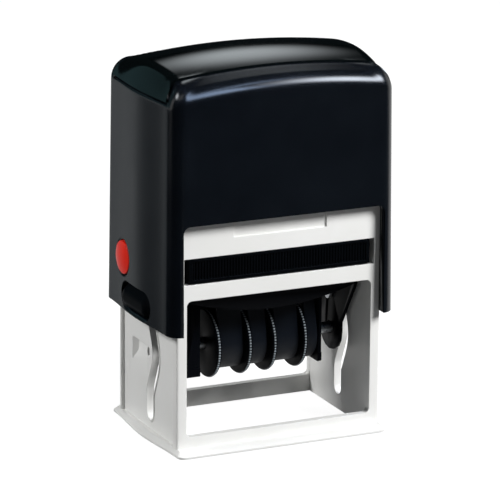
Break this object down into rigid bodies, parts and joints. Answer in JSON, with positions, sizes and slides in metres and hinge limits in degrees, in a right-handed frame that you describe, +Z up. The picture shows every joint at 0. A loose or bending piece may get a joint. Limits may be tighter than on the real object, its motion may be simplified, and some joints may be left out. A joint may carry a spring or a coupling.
{
  "type": "self-inking date stamp",
  "caption": "Self-inking date stamp: a black press-down cover on a white frame, with lock buttons, an ink pad tray and a date unit that turns over as the cover goes down.",
  "frame": {"origin": "middle of the foot's underside", "axes": "+Z up through the cover's top, front with the setting wheels in view at -Y, +X to the right as seen from the front"},
  "size_m": [0.0702, 0.0486, 0.1089],
  "materials": {
    "white_abs": "satin white moulding",
    "black_abs": "semi-gloss black moulding",
    "glossy_cap": "high-gloss black panel",
    "red_abs": "semi-gloss red moulding",
    "dark_nylon": "satin black moulding",
    "type_rubber": "matt black rubber",
    "pad_felt": "ink-soaked felt",
    "plated_steel": "zinc plated"
  },
  "bodies": {
    "frame": {"frame": "white_abs", "return_spring_left": "plated_steel", "return_spring_right": "plated_steel"},
    "cover": {"cover": "black_abs", "top_cap": "glossy_cap", "guide_shoe_left": "black_abs", "guide_shoe_right": "black_abs", "lift_yoke": "black_abs", "yoke_screw_left": "plated_steel", "yoke_screw_right": "plated_steel"},
    "button_left": {"lock_button_left": "red_abs"},
    "button_right": {"lock_button_right": "red_abs"},
    "date_unit": {"unit_body": "dark_nylon", "text_plate": "dark_nylon", "text_rubber": "type_rubber", "band_frame": "dark_nylon", "wheel_shaft": "plated_steel", "pivot_pin_left": "plated_steel", "pivot_pin_right": "plated_steel", "cam_pin_left": "plated_steel", "cam_pin_right": "plated_steel", "type_band_1": "type_rubber", "type_band_2": "type_rubber", "type_band_3": "type_rubber", "type_band_4": "type_rubber"},
    "wheel_1": {"setting_wheel_1": "dark_nylon"},
    "wheel_2": {"setting_wheel_2": "dark_nylon"},
    "wheel_3": {"setting_wheel_3": "dark_nylon"},
    "wheel_4": {"setting_wheel_4": "dark_nylon"},
    "tray": {"pad_tray": "black_abs", "ink_pad": "pad_felt"}
  },
  "joints": [
    {"name": "cover_press", "type": "slide", "parent": "frame", "child": "cover", "axis": [0, 0, -1], "range_m": [0, 0.0307], "stiffness_N_per_m": 400, "springref_m": -0.012, "deforming": ["return_spring_left", "return_spring_right"]},
    {"name": "unit_turn", "type": "hinge", "parent": "cover", "child": "date_unit", "pos_m": [0, 0, 0.0391], "axis": [-1, 0, 0], "range_deg": [0, 180]},
    {"name": "button_left_push", "type": "slide", "parent": "cover", "child": "button_left", "axis": [1, 0, 0], "range_m": [0, 0.0008], "stiffness_N_per_m": 600, "springref_m": -0.001},
    {"name": "button_right_push", "type": "slide", "parent": "cover", "child": "button_right", "axis": [-1, 0, 0], "range_m": [0, 0.0008], "stiffness_N_per_m": 600, "springref_m": -0.001},
    {"name": "wheel_1_spin", "type": "hinge", "parent": "date_unit", "child": "wheel_1", "pos_m": [-0.0132, 0, 0.0247], "axis": [1, 0, 0], "continuous": true},
    {"name": "wheel_2_spin", "type": "hinge", "parent": "date_unit", "child": "wheel_2", "pos_m": [-0.0038, 0, 0.0247], "axis": [1, 0, 0], "continuous": true},
    {"name": "wheel_3_spin", "type": "hinge", "parent": "date_unit", "child": "wheel_3", "pos_m": [0.0038, 0, 0.0247], "axis": [1, 0, 0], "continuous": true},
    {"name": "wheel_4_spin", "type": "hinge", "parent": "date_unit", "child": "wheel_4", "pos_m": [0.0132, 0, 0.0247], "axis": [1, 0, 0], "continuous": true},
    {"name": "tray_slide", "type": "slide", "parent": "frame", "child": "tray", "axis": [0, 1, 0], "range_m": [-0.04, 0]}
  ],
  "couplings": [
    {"joint": "unit_turn", "follows": "cover_press", "rad_per_m": 102.3}
  ]
}
